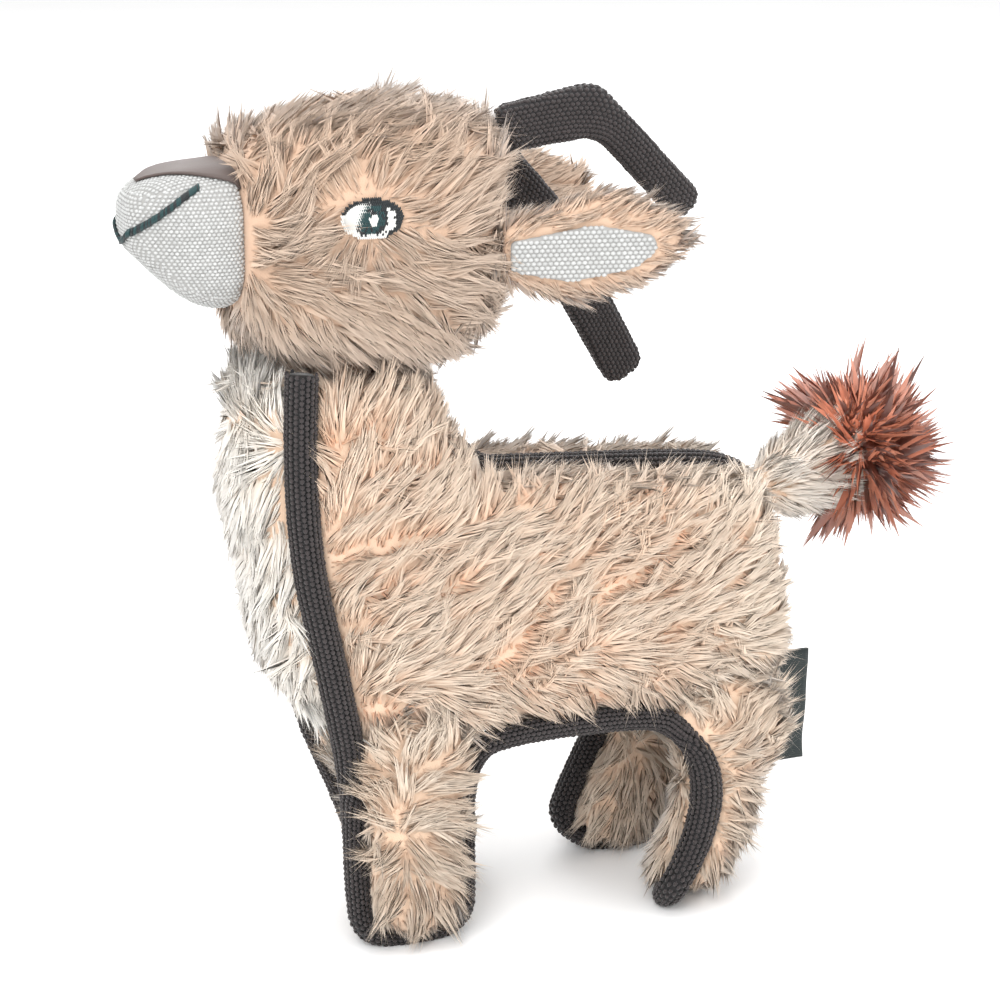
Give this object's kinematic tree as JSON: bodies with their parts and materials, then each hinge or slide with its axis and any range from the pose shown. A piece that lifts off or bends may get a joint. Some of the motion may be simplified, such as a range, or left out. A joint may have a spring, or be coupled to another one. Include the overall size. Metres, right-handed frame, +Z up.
{
  "type": "plush goat toy",
  "caption": "Standing stuffed goat toy in shaggy sand faux fur with dark woven webbing bindings and horns, a white woven muzzle and ear linings, and a rust tail tuft.",
  "frame": {"origin": "bottom centre of the bounding box, on the surface that the feet stand on", "axes": "+Z up; the goat faces -X and its left side faces -Y"},
  "size_m": [0.2988, 0.0988, 0.2981],
  "materials": {
    "fur": "long-pile faux fur, sand",
    "chest_fur": "long-pile faux fur, pale cream",
    "tail_fur": "short-pile faux fur, cream",
    "tuft_pile": "spiky long pile, rust brown",
    "filling": "polyester fibre filling",
    "webbing": "coarse woven webbing, dark brown-grey",
    "white_weave": "coarse basket weave, white",
    "nose_satin": "satin, taupe brown",
    "thread": "embroidery thread, dark teal",
    "label_ribbon": "woven ribbon, dark green-black",
    "squeaker_plastic": "soft moulded plastic"
  },
  "bodies": {
    "torso": {"left_side_panel": "fur", "right_side_panel": "fur", "chest_panel": "chest_fur", "belly_panel": "fur", "body_filling": "filling", "squeaker_bellows": "squeaker_plastic", "squeaker_reed": "squeaker_plastic", "back_binding": "webbing", "left_chest_binding": "webbing", "right_chest_binding": "webbing", "left_belly_binding": "webbing", "right_belly_binding": "webbing", "sewn_label": "label_ribbon"},
    "head": {"head_left_panel": "fur", "head_right_panel": "fur", "head_crown_panel": "fur", "head_filling": "filling", "left_eye": "thread", "right_eye": "thread", "muzzle_panel": "white_weave", "muzzle_filling": "filling", "nose_patch": "nose_satin", "mouth_stitching": "thread"},
    "left_ear": {"left_ear_back": "fur", "left_ear_lining": "white_weave"},
    "left_horn": {"left_horn_outer_webbing": "webbing", "left_horn_inner_webbing": "webbing"},
    "right_ear": {"right_ear_back": "fur", "right_ear_lining": "white_weave"},
    "right_horn": {"right_horn_outer_webbing": "webbing", "right_horn_inner_webbing": "webbing"},
    "tail": {"tail_sleeve": "tail_fur", "tail_filling": "filling", "tail_tuft": "tuft_pile"},
    "left_front_leg": {"left_front_leg_outer_panel": "fur", "left_front_leg_inner_panel": "fur", "left_front_leg_filling": "filling", "left_front_leg_binding": "webbing"},
    "right_front_leg": {"right_front_leg_outer_panel": "fur", "right_front_leg_inner_panel": "fur", "right_front_leg_filling": "filling", "right_front_leg_binding": "webbing"},
    "left_rear_leg": {"left_rear_leg_outer_panel": "fur", "left_rear_leg_inner_panel": "fur", "left_rear_leg_filling": "filling", "left_rear_leg_binding": "webbing"},
    "right_rear_leg": {"right_rear_leg_outer_panel": "fur", "right_rear_leg_inner_panel": "fur", "right_rear_leg_filling": "filling", "right_rear_leg_binding": "webbing"}
  },
  "joints": [
    {"name": "head_turn", "type": "hinge", "parent": "torso", "child": "head", "pos_m": [-0.07748, 0, 0.203], "axis": [0, 0, 1], "range_deg": [-20, 20], "stiffness_Nm_per_rad": 0.6},
    {"name": "left_ear_flop", "type": "hinge", "parent": "head", "child": "left_ear", "pos_m": [-0.0281, -0.03393, 0.246], "axis": [0, 0, -1], "range_deg": [-20, 35], "stiffness_Nm_per_rad": 0.02},
    {"name": "right_ear_flop", "type": "hinge", "parent": "head", "child": "right_ear", "pos_m": [-0.0281, 0.03393, 0.246], "axis": [0, 0, 1], "range_deg": [-20, 35], "stiffness_Nm_per_rad": 0.02},
    {"name": "left_horn_flex", "type": "hinge", "parent": "head", "child": "left_horn", "pos_m": [-0.02298, -0.016, 0.2845], "axis": [0, 1, 0], "range_deg": [-10, 15], "stiffness_Nm_per_rad": 0.03},
    {"name": "right_horn_flex", "type": "hinge", "parent": "head", "child": "right_horn", "pos_m": [-0.01848, 0.016, 0.271], "axis": [0, 1, 0], "range_deg": [-20, 8], "stiffness_Nm_per_rad": 0.03},
    {"name": "tail_wag", "type": "hinge", "parent": "torso", "child": "tail", "pos_m": [0.07952, 0, 0.143], "axis": [0, 0, 1], "range_deg": [-25, 25], "stiffness_Nm_per_rad": 0.03},
    {"name": "left_front_leg_swing", "type": "hinge", "parent": "torso", "child": "left_front_leg", "pos_m": [-0.05948, -0.021, 0.066], "axis": [0, 1, 0], "range_deg": [-20, 20], "stiffness_Nm_per_rad": 0.8},
    {"name": "right_front_leg_swing", "type": "hinge", "parent": "torso", "child": "right_front_leg", "pos_m": [-0.05948, 0.021, 0.066], "axis": [0, 1, 0], "range_deg": [-12, 25], "stiffness_Nm_per_rad": 0.8},
    {"name": "left_rear_leg_swing", "type": "hinge", "parent": "torso", "child": "left_rear_leg", "pos_m": [0.05852, -0.021, 0.066], "axis": [0, 1, 0], "range_deg": [-25, 12], "stiffness_Nm_per_rad": 0.8},
    {"name": "right_rear_leg_swing", "type": "hinge", "parent": "torso", "child": "right_rear_leg", "pos_m": [0.05852, 0.021, 0.066], "axis": [0, 1, 0], "range_deg": [-30, 10], "stiffness_Nm_per_rad": 0.8}
  ]
}
